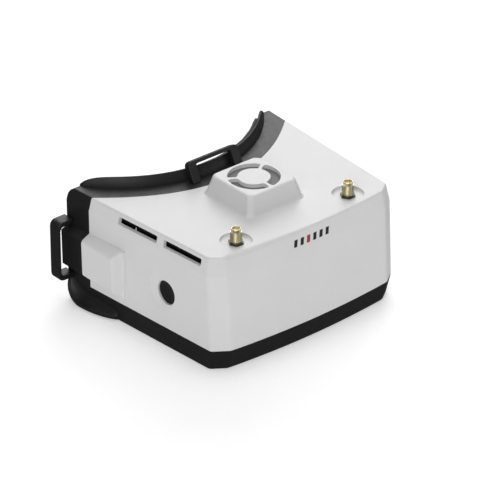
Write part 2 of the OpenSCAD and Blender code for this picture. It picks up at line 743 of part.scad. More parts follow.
// ---- side buttons ------------------------------------------------------
module button(y, out) {
    translate([0, y, dial_z]) rotate([0, 90, 0]) union() {
        translate([0, 0, 61.6]) cylinder(r = 1.5, h = 1);
        translate([0, 0, 62]) cylinder(r = button_r + 1, h = 1.3);
        translate([0, 0, 63]) cylinder(r = button_r, h = out - 63);
    }
}
module power_button() { color("#2a2a2e") at_origin() button(36, half_w(36) + 1); }
module record_button() { color("#a8342b") at_origin() button(52, half_w(52) + 1); }
module button_board() {
    color("#1d5a3a") at_origin() difference() {
        translate([57.4, 28, 25]) cube([1.2, 40, 18]);
        for (z = [28.5, 39.5]) translate([56, 44, z]) rotate([0, 90, 0])
            cylinder(r = 0.95, h = 4);
    }
}
module button_switches() {
    color("#c9cbd0") at_origin() for (y = [36, 52]) union() {
        translate([58.62, y - 3, dial_z - 3]) cube([1.6, 6, 6]);
        translate([60.1, y, dial_z]) rotate([0, 90, 0]) cylinder(r = 1.5, h = 0.8);
    }
}
module status_led() {
    color("#d6f0d2", 0.8) at_origin() union() {
        translate([58.62, 60.5, dial_z - 1.5]) cube([1.5, 3, 3]);
        translate([60, 62, dial_z]) rotate([0, 90, 0]) cylinder(r = 1.06, h = 7.9);
    }
}

// ---- connectors in the tray --------------------------------------------
io_z = 3.8;
module io_board() {
    color("#1d5a3a") at_origin() translate([52.6, 25, io_z - 1.22]) cube([9.6, 46, 1.2]);
}
module dc_jack() {
    color("#1a1a1c") at_origin() translate([0, 30, io_z + 4]) difference() {
        union() {
            translate([52.7, -4.5, -4]) cube([9.3, 9, 8]);
            translate([60, 0, 0]) rotate([0, 90, 0]) cylinder(r = 3.1, h = 4.4);
        }
        difference() {
            translate([55, 0, 0]) rotate([0, 90, 0]) cylinder(r = 2.75, h = 12);
            translate([54, 0, 0]) rotate([0, 90, 0]) cylinder(r = 1, h = 9.6);
        }
    }
}
module av_jack() {
    color("#1a1a1c") at_origin() translate([0, 46, io_z + 3.5]) difference() {
        union() {
            translate([52.7, -4, -3.5]) cube([9.3, 8, 7]);
            translate([60, 0, 0]) rotate([0, 90, 0]) cylinder(r = 2.8, h = 5);
        }
        translate([54, 0, 0]) rotate([0, 90, 0]) cylinder(r = 1.78, h = 14);
    }
}
module hdmi_port() {
    color("#b9bbbf") at_origin() difference() {
        translate([53, 57.2, io_z]) cube([11.6, 11.6, 4]);
        translate([55, 57.6, io_z + 0.4]) cube([12, 10.8, 3.2]);
    }
}

// ---- vent liners and screws --------------------------------------------
module vent_liner(s) {
    color("#1a1a1c") at_origin() difference() {
        translate([0, 0, 60.9]) linear_extrude(4)
            polygon([[s * (half_w(13) - 4.5), 13], [s * (half_w(79) - 4.5), 79],
                     [s * (half_w(79) - 5.7), 79], [s * (half_w(13) - 5.7), 13]]);
        for (i = [0:8]) {
            translate([s * 62 - 6, 15.6 + i * 3, 61.5]) cube([12, 1.2, 2.8]);
            translate([s * 63 - 6, 49.2 + i * 3, 61.5]) cube([12, 1.2, 2.8]);
        }
    }
}
module vent_liner_left() { vent_liner(-1); }
module vent_liner_right() { vent_liner(1); }
module shell_screws() {
    color("#8d8d92") at_origin() at_posts() difference() {
        union() {
            translate([0, 0, 0.5]) cylinder(r = 2.4, h = 1.45);
            cylinder(r = 1.12, h = 22);
        }
        translate([0, 0, -1]) cylinder(r = 1, h = 2.4, $fn = 6);
    }
}
module frame_screws() {
    color("#8d8d92") at_origin() for (s = [-1, 1], z = [28, 38])
        translate([s * 72.4, 0, z]) rotate([-90, 0, 0]) difference() {
            union() {
                translate([0, 0, 93]) cylinder(r = 1.2, h = 15.5);
                translate([0, 0, 108.05]) cylinder(r = 2, h = 1.5);
            }
            translate([0, 0, 108.7]) cylinder(r = 1, h = 2, $fn = 6);
        }
}

main_shell();
bottom_shell();
face_frame();
brow_pad();
strap_loop_top();
strap_loop_left();
strap_loop_right();
front_badge();
badge_accent();
sma_jack_left();
sma_jack_right();
sma_nut_left();
sma_nut_right();
sma_insulator_left();
sma_insulator_right();
sma_socket_left();
sma_socket_right();
coax_left();
coax_right();
fan_frame();
fan_rotor();
fan_screen();
fan_screws();
main_board();
board_chips();
board_shields();
board_screws();
lcd_panel();
lcd_frame();
display_ribbon();
optic_tunnel();
inner_shroud();
eye_lens();
lens_bezel();
menu_dial();
dial_plunger();
dial_encoder();
power_button();
record_button();
button_board();
button_switches();
status_led();
io_board();
dc_jack();
hdmi_port();
av_jack();
vent_liner_left();
vent_liner_right();
shell_screws();
frame_screws();
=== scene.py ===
"""Box-style video goggles: detailed surfaces, materials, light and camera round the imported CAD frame."""

import math

import bmesh
import bpy
from mathutils import Matrix, Vector


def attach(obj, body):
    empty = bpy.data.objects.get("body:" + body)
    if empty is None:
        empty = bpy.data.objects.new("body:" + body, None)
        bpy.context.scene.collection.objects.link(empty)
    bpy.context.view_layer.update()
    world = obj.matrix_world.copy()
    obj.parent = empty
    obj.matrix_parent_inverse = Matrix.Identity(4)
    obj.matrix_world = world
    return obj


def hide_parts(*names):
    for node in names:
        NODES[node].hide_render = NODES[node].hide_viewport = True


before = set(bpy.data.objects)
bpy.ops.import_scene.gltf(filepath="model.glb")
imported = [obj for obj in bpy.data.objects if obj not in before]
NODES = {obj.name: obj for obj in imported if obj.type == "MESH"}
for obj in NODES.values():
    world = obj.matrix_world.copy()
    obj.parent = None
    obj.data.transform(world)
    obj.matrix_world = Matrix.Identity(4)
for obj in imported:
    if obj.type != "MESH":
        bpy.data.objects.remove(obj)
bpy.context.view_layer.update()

# ---- sizes shared with the CAD source, in millimetres; front face at y = 0 ----
ORIGIN_Y = 58.2
FRONT_HALF, TAPER, FACE_HALF, CHAMFER_Y = 64.2, 0.0684, 55.4, 6.3
BULGE, SIDE_REAR, BROW_MID, BROW_CURVE = 3.1, 99.8, 69.2, 0.00655
SPLIT_Z, BAND_Z, BAND_TILT, TOP_Z, BAND_IN, LEAN = 12.5, 56.6, 0.032, 67.2, 2.1, 2.3
WALL, TRAY_IN, TRAY_LEAN = 2.2, 1.2, 2.0
FAN_Y, TOWER_H, TOWER_TOP, TOWER_FOOT = 46.5, 11.1, 16.5, 20.0
FOOT_FLARE = 0.8
JACK_X, JACK_Y, RECESS_R, RECESS_Z = 39.25, 15.0, 8.8, 65.5
FRAME_REAR, LIP_MID, LIP_H, LIP_LEAN = 117.6, 79.6, 6.0, 3.0
HEEL_R, TEMPLE_R, FRAME_WALL, SEAM, BLOCK_REAR = 5.0, 4.8, 4.0, 0.1, 117.0
TICK_N, TICK_X, TICK_PITCH, TICK_LOW, TICK_HIGH = 6, -10.5, 4.4, 59.0, 62.8
DIAL_Y, DIAL_Z, DIAL_R = 40.5, 34.0, 7.0
FAR = 400.0


def half_w(y):
    return FRONT_HALF + (y - CHAMFER_Y) * TAPER


def brow_y(x):
    return min(SIDE_REAR, BROW_MID + BROW_CURVE * x * x)


def lip_y(x):
    return LIP_MID + 0.0064 * x * x + 0.0000004 * x**4


def smooth(t):
    t = min(1.0, max(0.0, t))
    return t * t * (3 - 2 * t)


# ---- mesh helpers ----
def new_object(name, verts, faces):
    mesh = bpy.data.meshes.new(name)
    mesh.from_pydata([tuple(v) for v in verts], [], faces)
    mesh.validate()
    obj = bpy.data.objects.new(name, mesh)
    bpy.context.scene.collection.objects.link(obj)
    bm = bmesh.new()
    bm.from_mesh(mesh)
    bmesh.ops.recalc_face_normals(bm, faces=bm.faces)
    bm.to_mesh(mesh)
    bm.free()
    return obj


def loft(name, rings, caps=True, closed_ring=True, closed_path=False):
    """Quads between rings of equal length, with an n-gon on each end."""
    n, m = len(rings), len(rings[0])
    verts = [p for r in rings for p in r]
    faces = []
    for i in range(n if closed_path else n - 1):
        k = (i + 1) % n
        for j in range(m if closed_ring else m - 1):
            q = (j + 1) % m
            faces.append((i * m + j, i * m + q, k * m + q, k * m + j))
    if caps and not closed_path:
        faces.append(tuple(range(m)))
        faces.append(tuple((n - 1) * m + j for j in range(m)))
    return new_object(name, verts, faces)


def bezier_corner(p, c, q, steps):
    p, c, q = Vector(p), Vector(c), Vector(q)
    return [
        tuple((1 - t) ** 2 * p + 2 * t * (1 - t) * c + t * t * q)
        for t in (k / steps for k in range(steps + 1))
    ]


def rounded(points, cuts, steps=4):
    """A closed polygon with each corner rounded; cuts is one length or one a corner."""
    n = len(points)
    if not isinstance(cuts, (list, tuple)):
        cuts = [cuts] * n
    out = []
    for i in range(n):
        c = Vector(points[i])
        a, b = Vector(points[i - 1]), Vector(points[(i + 1) % n])
        cut = cuts[i]
        if cut <= 0:
            out.append(tuple(c))
            continue
        pa = c + (a - c).normalized() * min(cut, (a - c).length * 0.49)
        pb = c + (b - c).normalized() * min(cut, (b - c).length * 0.49)
        out += bezier_corner(pa, c, pb, steps)
    return out


def prism(name, outline, axis, lo, hi):
    """An outline pulled along an axis: x takes (y, z), y takes (x, z), z takes (x, y)."""
    place = {
        "x": lambda p, h: (h, p[0], p[1]),
        "y": lambda p, h: (p[0], h, p[1]),
        "z": lambda p, h: (p[0], p[1], h),
    }[axis]
    return loft(name, [[place(p, lo) for p in outline], [place(p, hi) for p in outline]])


def box(name, lo, hi):
    outline = [(lo[0], lo[1]), (hi[0], lo[1]), (hi[0], hi[1]), (lo[0], hi[1])]
    return prism(name, outline, "z", lo[2], hi[2])


def circle(r, n=64, cx=0.0, cy=0.0, start=0.0):
    return [
        (cx + r * math.cos(start + 2 * math.pi * k / n), cy + r * math.sin(start + 2 * math.pi * k / n))
        for k in range(n)
    ]


def solid_lathe(name, profile, centre, axis="z", n=64):
    """An open profile whose first and last points lie on the axis, closed by fans."""
    body = profile[1:-1]
    verts, faces = [], []
    for r, h in body:
        for k in range(n):
            a = 2 * math.pi * k / n
            c, s = math.cos(a), math.sin(a)
            p = {"z": (r * c, r * s, h), "x": (h, r * c, r * s), "y": (r * c, h, r * s)}[axis]
            verts.append(tuple(Vector(p) + Vector(centre)))
    for i in range(len(body) - 1):
        for k in range(n):
            q = (k + 1) % n
            faces.append((i * n + k, i * n + q, (i + 1) * n + q, (i + 1) * n + k))
    for end, row in ((profile[0], 0), (profile[-1], len(body) - 1)):
        h = end[1]
        p = {"z": (0, 0, h), "x": (h, 0, 0), "y": (0, h, 0)}[axis]
        verts.append(tuple(Vector(p) + Vector(centre)))
        mid = len(verts) - 1
        faces += [(row * n + k, row * n + (k + 1) % n, mid) for k in range(n)]
    return new_object(name, verts, faces)


def apply_modifiers(obj):
    dg = bpy.context.evaluated_depsgraph_get()
    mesh = bpy.data.meshes.new_from_object(obj.evaluated_get(dg))
    obj.modifiers.clear()
    obj.data = mesh


def combine(obj, others, operation):
    for other in others:
        m = obj.modifiers.new("combine", "BOOLEAN")
        m.operation, m.solver, m.object = operation, "EXACT", other
        apply_modifiers(obj)
    for other in others:
        bpy.data.objects.remove(other)
    bm = bmesh.new()
    bm.from_mesh(obj.data)
    bmesh.ops.remove_doubles(bm, verts=bm.verts, dist=0.004)
    bmesh.ops.dissolve_degenerate(bm, edges=bm.edges, dist=0.004)
    bm.to_mesh(obj.data)
    bm.free()
    return obj


def round_edges(obj, width, segments=2, angle=32):
    m = obj.modifiers.new("round", "BEVEL")
    m.width, m.segments, m.limit_method = width, segments, "ANGLE"
    m.angle_limit = math.radians(angle)
    m.use_clamp_overlap = True
    apply_modifiers(obj)
    return obj


def finish_piece(obj, material, body="housing", replaces=(), sharp=38):
    """Moves a piece drawn in millimetres into the row frame and gives it its finish."""
    obj.data.transform(
        Matrix.Diagonal((0.001, 0.001, 0.001, 1)) @ Matrix.Translation((0, -ORIGIN_Y, 0))
    )
    obj.data.materials.clear()
    obj.data.materials.append(material)
    for p in obj.data.polygons:
        p.use_smooth = True
        p.material_index = 0
    obj.data.set_sharp_from_angle(angle=math.radians(sharp))
    w = obj.modifiers.new("normals", "WEIGHTED_NORMAL")
    w.keep_sharp, w.weight = True, 60
    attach(obj, body)
    if replaces:
        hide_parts(*replaces)
    return obj


# ---- materials ----
def material(name, colour, rough, coat=0.0, metal=0.0, specular=0.5, ior=1.5):
    m = bpy.data.materials.new(name)
    m.use_nodes = True
    b = m.node_tree.nodes["Principled BSDF"]
    b.inputs["Base Color"].default_value = (*colour, 1)
    b.inputs["Roughness"].default_value = rough
    b.inputs["Metallic"].default_value = metal
    b.inputs["Coat Weight"].default_value = coat
    b.inputs["Specular IOR Level"].default_value = specular
    b.inputs["IOR"].default_value = ior
    return m, m.node_tree, b


def noise_at(tree, scale, detail=3.0, stretch=(1, 1, 1)):
    coord = tree.nodes.new("ShaderNodeTexCoord")
    mapping = tree.nodes.new("ShaderNodeMapping")
    mapping.inputs["Scale"].default_value = stretch
    n = tree.nodes.new("ShaderNodeTexNoise")
    n.inputs["Scale"].default_value = scale
    n.inputs["Detail"].default_value = detail
    tree.links.new(coord.outputs["Object"], mapping.inputs["Vector"])
    tree.links.new(mapping.outputs["Vector"], n.inputs["Vector"])
    return n


def vary(tree, target, noise, low, high):
    ramp = tree.nodes.new("ShaderNodeMapRange")
    ramp.inputs["From Min"].default_value = 0.3
    ramp.inputs["From Max"].default_value = 0.7
    ramp.inputs["To Min"].default_value = low
    ramp.inputs["To Max"].default_value = high
    tree.links.new(noise.outputs["Fac"], ramp.inputs["Value"])
    tree.links.new(ramp.outputs["Result"], target)


def tint(tree, b, noise, dark, light):
    ramp = tree.nodes.new("ShaderNodeValToRGB")
    ramp.color_ramp.elements[0].position = 0.32
    ramp.color_ramp.elements[1].position = 0.68
    ramp.color_ramp.elements[0].color = (*dark, 1)
    ramp.color_ramp.elements[1].color = (*light, 1)
    tree.links.new(noise.outputs["Fac"], ramp.inputs["Fac"])
    tree.links.new(ramp.outputs["Color"], b.inputs["Base Color"])


def bump(tree, b, noise, strength, distance):
    n = tree.nodes.new("ShaderNodeBump")
    n.inputs["Strength"].default_value = strength
    n.inputs["Distance"].default_value = distance
    tree.links.new(noise.outputs["Fac"], n.inputs["Height"])
    tree.links.new(n.outputs["Normal"], b.inputs["Normal"])


def moulded(name, colour, rough, grain=2600, depth=0.00004, spread=0.06, **more):
    """Moulded plastic: faint tone drift, uneven gloss and a fine spark-eroded grain."""
    m, tree, b = material(name, colour, rough, **more)
    drift = noise_at(tree, 38, 4)
    dark = tuple(c * (1 - spread) for c in colour)
    light = tuple(min(1, c * (1 + spread)) for c in colour)
    tint(tree, b, drift, dark, light)
    vary(tree, b.inputs["Roughness"], noise_at(tree, 240, 3), rough - 0.04, rough + 0.05)
    bump(tree, b, noise_at(tree, grain, 2), 0.35, depth)
    return m


def metal(name, colour, rough, stretch=(1, 1, 1), scale=1500, depth=0.00001):
    m, tree, b = material(name, colour, rough, metal=1.0)
    grain = noise_at(tree, scale, 4, stretch)
    tint(tree, b, grain, tuple(c * 0.86 for c in colour), tuple(min(1, c * 1.08) for c in colour))
    vary(tree, b.inputs["Roughness"], noise_at(tree, 500, 3), rough - 0.05, rough + 0.08)
    bump(tree, b, grain, 0.25, depth)
    return m


def make_screen():
    """Fine woven nylon mesh."""
    m, tree, b = material("screen_grey", (0.2, 0.2, 0.205), 0.7)
    coords = tree.nodes.new("ShaderNodeTexCoord")
    product = None
    for axis in ("X", "Y"):
        wave = tree.nodes.new("ShaderNodeTexWave")
        wave.bands_direction = axis
        wave.inputs["Scale"].default_value = 450.0
        tree.links.new(coords.outputs["Object"], wave.inputs["Vector"])
        if product is None:
            product = wave.outputs["Fac"]
        else:
            node = tree.nodes.new("ShaderNodeMath")
            node.operation = "MAXIMUM"
            tree.links.new(product, node.inputs[0])
            tree.links.new(wave.outputs["Fac"], node.inputs[1])
            product = node.outputs[0]
    ramp = tree.nodes.new("ShaderNodeValToRGB")
    ramp.color_ramp.elements[0].color = (0.08, 0.08, 0.082, 1)
    ramp.color_ramp.elements[1].color = (0.27, 0.27, 0.274, 1)
    tree.links.new(product, ramp.inputs["Fac"])
    tree.links.new(ramp.outputs["Color"], b.inputs["Base Color"])
    return m


WHITE = moulded("white_plastic", (0.80, 0.80, 0.80), 0.42, grain=3000, depth=0.00002, spread=0.012)
BLACK = moulded("black_plastic", (0.012, 0.012, 0.0125), 0.47, grain=2400, depth=0.00004, specular=0.5)
INNER = moulded("inner_black", (0.012, 0.012, 0.012), 0.72, grain=1800, depth=0.00005, specular=0.3)
SCREEN = make_screen()
FAN = moulded("fan_grey", (0.26, 0.26, 0.262), 0.5, grain=2000)
DIAL = moulded("dial_black", (0.011, 0.011, 0.0115), 0.4, grain=2800, depth=0.00003)
MARK_DARK = moulded("mark_dark", (0.014, 0.014, 0.015), 0.35, grain=3200, depth=0.00002)
MARK_RED = moulded("mark_red", (0.42, 0.03, 0.04), 0.35, grain=3200, depth=0.00002)
BUTTON_DARK = moulded("button_dark", (0.022, 0.022, 0.024), 0.62, grain=2200)
BUTTON_RED = moulded("button_red", (0.36, 0.025, 0.02), 0.58, grain=2200)
JACK_BLACK = moulded("jack_black", (0.014, 0.014, 0.015), 0.5)
CHIP = moulded("chip_black", (0.018, 0.018, 0.019), 0.6, grain=3600)
ENCODER = moulded("encoder_grey", (0.06, 0.06, 0.065), 0.5)
PTFE = moulded("ptfe", (0.78, 0.76, 0.7), 0.4, grain=2000, depth=0.00001)
CABLE = moulded("cable_black", (0.02, 0.02, 0.02), 0.45, grain=1600)
GOLD = metal("jack_gold", (1.0, 0.88, 0.6), 0.38, (1, 1, 3))
CONTACT = metal("contact_gold", (0.9, 0.7, 0.34), 0.25)
# The aerial nuts get a dark brown metal colour. It stands in for the shadow ring at the foot of each barrel
# inside its recess, so it is painted shade.
NUT_PAINTED_SHADE = metal("dark_nut", (0.1, 0.09, 0.08), 0.42)
STEEL = metal("screw_steel", (0.5, 0.5, 0.51), 0.32)
SHIELD = metal("shield_steel", (0.62, 0.62, 0.63), 0.3, (1, 8, 1), 900)
PLUNGER = metal("plunger_steel", (0.55, 0.55, 0.57), 0.25)


def make_foam():
    m, tree, b = material("foam_cover", (0.03, 0.03, 0.033), 0.92, specular=0.25)
    b.inputs["Sheen Weight"].default_value = 0.35
    b.inputs["Sheen Roughness"].default_value = 0.5
    fuzz = noise_at(tree, 1700, 5, (1, 2.2, 1))
    tint(tree, b, fuzz, (0.018, 0.018, 0.02), (0.05, 0.05, 0.054))
    bump(tree, b, fuzz, 0.8, 0.0002)
    return m


def make_board():
    m, tree, b = material("board_green", (0.012, 0.07, 0.032), 0.3, coat=0.3)
    coord = tree.nodes.new("ShaderNodeTexCoord")
    brick = tree.nodes.new("ShaderNodeTexBrick")
    brick.inputs["Scale"].default_value = 260
    brick.inputs["Color1"].default_value = (0.012, 0.075, 0.034, 1)
    brick.inputs["Color2"].default_value = (0.01, 0.062, 0.028, 1)
    brick.inputs["Mortar"].default_value = (0.02, 0.11, 0.05, 1)
    brick.inputs["Mortar Size"].default_value = 0.05
    turn = tree.nodes.new("ShaderNodeMapping")
    turn.inputs["Rotation"].default_value = (math.pi / 2, 0, 0)
    tree.links.new(coord.outputs["Object"], turn.inputs["Vector"])
    tree.links.new(turn.outputs["Vector"], brick.inputs["Vector"])
    tree.links.new(brick.outputs["Color"], b.inputs["Base Color"])
    bump(tree, b, brick, 0.3, 0.00004)
    return m


def make_display():
    m, tree, b = material("display_dark", (0.006, 0.0065, 0.009), 0.12, coat=0.6)
    vary(tree, b.inputs["Roughness"], noise_at(tree, 60, 3), 0.08, 0.16)
    return m


def make_lens():
    m, tree, b = material("lens_clear", (0.92, 0.96, 0.98), 0.03, ior=1.49)
    b.inputs["Transmission Weight"].default_value = 0.92
    b.inputs["Coat Weight"].default_value = 0.4
    b.inputs["Coat Tint"].default_value = (0.8, 0.82, 0.95, 1)
    vary(tree, b.inputs["Roughness"], noise_at(tree, 90, 2), 0.02, 0.05)
    return m


def make_ribbon():
    m, tree, b = material("ribbon_amber", (0.42, 0.18, 0.03), 0.28, coat=0.3)
    lines = noise_at(tree, 60, 1, (60, 1, 1))
    tint(tree, b, lines, (0.3, 0.12, 0.02), (0.48, 0.22, 0.05))
    return m


def make_led():
    m, tree, b = material("led_clear", (0.7, 0.85, 0.7), 0.25)
    b.inputs["Transmission Weight"].default_value = 0.5
    vary(tree, b.inputs["Roughness"], noise_at(tree, 300, 2), 0.2, 0.32)
    return m


FOAM, BOARD, DISPLAY, LENS = make_foam(), make_board(), make_display(), make_lens()
RIBBON, LED = make_ribbon(), make_led()

# ---- plan outline of the housing, with softened upright corners ----
ARC_N, CORNER_N = 22, 5
FRONT_CUT, SIDE_CUT = 1.5, 1.3


def plan(d, lean, rear=130.0):
    """Right rear round the front to left rear, as (x, y, share of front face)."""
    eh = FACE_HALF - 0.321 * d
    edge = Vector((eh, lean + d))
    corner = Vector((FRONT_HALF - 0.965 * d + TAPER * lean, CHAMFER_Y + 0.539 * d + lean))
    back = Vector((half_w(rear) - d, rear))
    t_end = 1 - FRONT_CUT / eh
    ts = [t_end * k / ARC_N for k in range(ARC_N)]
    half = [(eh * t, lean + d - BULGE * (1 - t**2)) for t in ts]
    start = Vector((eh * t_end, lean + d - BULGE * (1 - t_end**2)))
    along = (corner - edge).normalized()
    side = (back - corner).normalized()
    half += bezier_corner(start, edge, edge + along * FRONT_CUT, CORNER_N)
    half += bezier_corner(corner - along * SIDE_CUT, corner, corner + side * SIDE_CUT, CORNER_N)
    half += [tuple(back)]
    shares = [1.0] * ARC_N + [1 - k / CORNER_N for k in range(CORNER_N + 1)] + [0.0] * (CORNER_N + 2)
    right = [(x, y, s) for (x, y), s in zip(half, shares)]
    left = [(-x, y, s) for x, y, s in right[1:]]
    return right[::-1] + left


def form_rings(levels, rear=130.0):
    """levels: list of functions (x, y, share) -> (d, lean, z)."""
    flat = {}
    rings = []
    for level in levels:
        base = plan(0, 0, rear)
        ring = []
        for i, (x, y, s) in enumerate(base):
            d, lean, z = level(x, y, s)
            key = (round(d, 4), round(lean, 4))
            if key not in flat:
                flat[key] = plan(d, lean, rear)
            px, py, _ = flat[key][i]
            ring.append((px, py, z))
        rings.append(ring)
    return rings


def lean_at(z):
    return LEAN * min(1.0, max(0.0, (z - SPLIT_Z) / (BAND_Z - SPLIT_Z)))


def band_level(t, extra=0.0):
    """Slope of the upper band: t runs from its lower edge to the top; soft knee on the front only."""
    def level(x, y, s):
        low = BAND_Z + BAND_TILT * y
        z = low + (TOP_Z - low) * t
        knee = 2.4 * s + 0.25
        h = z - low
        slope = BAND_IN / (TOP_Z - low)
        if h <= -knee:
            d = 0.0
        elif h < knee:
            d = slope * (h + knee) ** 2 / (4 * knee)
        else:
            d = slope * h
        return d + extra, LEAN, z
    return level


def shell_levels():
    levels = []
    for z, d in ((SPLIT_Z, 0.45), (SPLIT_Z + 0.12, 0.16), (SPLIT_Z + 0.45, 0.0), (30.0, 0.0), (48.0, 0.0)):
        levels.append(lambda x, y, s, z=z, d=d: (d, lean_at(z), z))
    for t in (-0.26, -0.17, -0.09, -0.025, 0.0, 0.025, 0.09, 0.17, 0.26, 0.5):
        levels.append(band_level(t))
    turns = 5
    for k in range(turns + 1):
        a = math.pi / 2 * k / turns

        def top(x, y, s, a=a):
            r = 0.8 + s * (0.3 + 2.0 * smooth((12 - x) / 60))
            low = BAND_Z + BAND_TILT * y
            drop = r * (1 - math.sin(a))
            slope = BAND_IN / (TOP_Z - low)
            return BAND_IN - slope * drop + r * (1 - math.cos(a)), LEAN, TOP_Z - drop

        levels.append(top)
    return levels


def inner_rings(d):
    return form_rings([
        lambda x, y, s: (d, 0, SPLIT_Z - 2),
        lambda x, y, s: (d, LEAN, BAND_Z + BAND_TILT * y),
        lambda x, y, s: (d + 1.65, LEAN, TOP_Z - d),
    ])


def brow_prism(name, off, z0, z1):
    lim = math.sqrt((SIDE_REAR - BROW_MID) / BROW_CURVE)
    xs = [lim * (-1 + 2 * k / 56) for k in range(57)]
    outline = [(-FAR, SIDE_REAR + off)] + [(x, brow_y(x) + off) for x in xs]
    outline += [(FAR, SIDE_REAR + off), (FAR, FAR), (-FAR, FAR)]
    return prism(name, outline, "z", z0, z1)


def lip_prism(name, off, half, z0, z1):
    xs = [half * (-1 + 2 * k / 64) for k in range(65)]
    outline = [(x, lip_y(x) + off) for x in xs] + [(half, FAR), (-half, FAR)]
    return prism(name, outline, "z", z0, z1)


# ---- white housing ----
def tower():
    def ring(h, c, z):
        pts = [
            (-h, -h + c), (-h + c, -h), (h - c, -h), (h, -h + c),
            (h, h - c), (h - c, h), (-h + c, h), (-h, h - c),
        ]
        return [(x, y + FAN_Y, z) for x, y in rounded(pts, 0.75, 3)]

    top = TOP_Z + TOWER_H
    slope = (TOWER_FOOT - TOWER_TOP) / TOWER_H
    corner = TOWER_FOOT - 0.3
    foot = bezier_corner(
        (TOWER_FOOT + FOOT_FLARE, TOP_Z - 0.06), (corner, TOP_Z), (corner - slope * 1.5, TOP_Z + 1.5), 6)
    crest = bezier_corner((TOWER_TOP + slope * 1.3, top - 1.3), (TOWER_TOP, top), (TOWER_TOP - 1.3, top), 5)
    rings = [ring(TOWER_FOOT + FOOT_FLARE, 3.2, TOP_Z - 1.2)]
    for h, z in foot + crest:
        grow = max(0.0, h - TOWER_FOOT)
        rings.append(ring(h, 2.5 + grow * 0.5 + 0.25 * (h - TOWER_TOP) / 3.5, z))
    return loft("tower", rings)


def grille_cutter(start):
    r0, r1, edge = 8.9, 14.4, 4.2
    a0, a1 = math.radians(start + edge), math.radians(start + 120 - edge)
    n = 20
    arc = lambda r, a: (r * math.cos(a), r * math.sin(a))
    soft = 1.7
    outline = []
    inset0, inset1 = soft / r0, soft / r1
    outline += [arc(r1, a0 + inset1 + (a1 - a0 - 2 * inset1) * k / n) for k in range(n + 1)]
    outline += bezier_corner(arc(r1, a1 - inset1), arc(r1, a1), arc(r1 - soft, a1), 5)[1:]
    outline += bezier_corner(arc(r0 + soft, a1), arc(r0, a1), arc(r0, a1 - inset0), 5)
    outline += [arc(r0, a1 - inset0 - (a1 - a0 - 2 * inset0) * k / n) for k in range(1, n + 1)]
    outline += bezier_corner(arc(r0, a0 + inset0), arc(r0, a0), arc(r0 + soft, a0), 5)[1:]
    outline += bezier_corner(arc(r1 - soft, a0), arc(r1, a0), arc(r1, a0 + inset1), 5)[:-1]
    return prism("grille", [(x, y + FAN_Y) for x, y in outline], "z", 74.0, 82.0)


def boss(s, y0, y1, z_low=22.3, ramp=True):
    """Swelling on the housing's side that carries the strap loop."""
    def section(y, out):
        pts = [(66.0, 17.0), (70.0, 17.0), (out - 0.3, z_low), (out, 43.4), (70.0, 46.4), (66.0, 46.4)]
        rim = max(0.05, min(1.6, (out - 68) * 0.4))
        pts = rounded(pts, [0, rim, rim, rim, rim, 0], 4)
        return [(s * x, y, z) for x, z in pts]

    stations = []
    if ramp:
        for k in range(9):
            t = k / 8
            stations.append((y0 + 0.1 + 3.7 * t, 70.4 + 5.9 * smooth(t) ** 0.85))
    else:
        stations.append((y0, 76.3))
    stations.append((y1, 76.3))
    return loft("boss", [section(y, out) for y, out in stations])


def tick_cutter(i, grow, y0, y1):
    x = TICK_X + i * TICK_PITCH
    low, high = TICK_LOW - grow, TICK_HIGH + grow
    pts = [(x - 1.5 - grow, low), (x + 0.6 + grow, low), (x + 1.5 + grow, high), (x - 0.6 - grow, high)]
    return prism("tick", pts, "y", y0, y1)


def build_shell():
    shell = loft("housing_shell", form_rings(shell_levels()))
    combine(shell, [tower(), boss(-1, 71.2, 120), boss(1, 71.2, 120)], "UNION")
    inner = loft("inner", inner_rings(WALL))
    cutters = [inner, brow_prism("brow", 0, 0, 120)]
    cutters.append(box("pocket", (-15.2, FAN_Y - 15.2, TOP_Z - WALL - 1), (15.2, FAN_Y + 15.2, 76.1)))
    cutters += [grille_cutter(a) for a in (30, 150, 270)]
    for s in (-1, 1):
        recess = [
            (0, RECESS_Z),
            (RECESS_R - 0.9, RECESS_Z),
            (RECESS_R - 0.35, RECESS_Z + 0.2),
            (RECESS_R - 0.05, RECESS_Z + 0.7),
            (RECESS_R, TOP_Z + 3),
            (0, TOP_Z + 3),
        ]
        cutters.append(solid_lathe("recess", recess, (s * JACK_X, JACK_Y, 0), "z", 72))
        cutters.append(prism("hole", circle(3.25, 40, s * JACK_X, JACK_Y), "z", 50, 80))
        for y0, y1 in ((14.5, 43.0), (48.0, 77.5)):
            slot = rounded([(y0, 60.75), (y1, 60.75), (y1, 64.95), (y0, 64.95)], 0.9, 4)
            x0, x1 = (60, 80) if s > 0 else (-80, -60)
            cutters.append(prism("vent", slot, "x", x0, x1))
    dish_r, dish_depth, ball = 11.0, 0.95, 64.0
    surface = half_w(DIAL_Y)
    profile = [(0, surface - dish_depth)]
    for k in range(1, 13):
        r = (dish_r + 1.5) * k / 12
        profile.append((r, surface - dish_depth + ball - math.sqrt(ball * ball - r * r)))
    profile += [(dish_r + 1.5, surface + 6), (0, surface + 6)]
    cutters.append(solid_lathe("dish", [(r, -h) for r, h in profile], (0, DIAL_Y, DIAL_Z), "x", 96))
    cutters.append(prism("dial_hole", circle(DIAL_R, 64, DIAL_Y, DIAL_Z), "x", -80, -50))
    for y in (36, 52):
        cutters.append(prism("button_hole", circle(4.3, 48, y, DIAL_Z), "x", 50, 80))
    cutters.append(prism("led_hole", circle(1.1, 24, 62, DIAL_Z), "x", 50, 80))
    cutters += [tick_cutter(i, 0.06, -1, 6) for i in range(TICK_N)]
    combine(shell, cutters, "DIFFERENCE")
    round_edges(shell, 0.28, 2, 30)
    return finish_piece(shell, WHITE, replaces=("main_shell",), sharp=40)


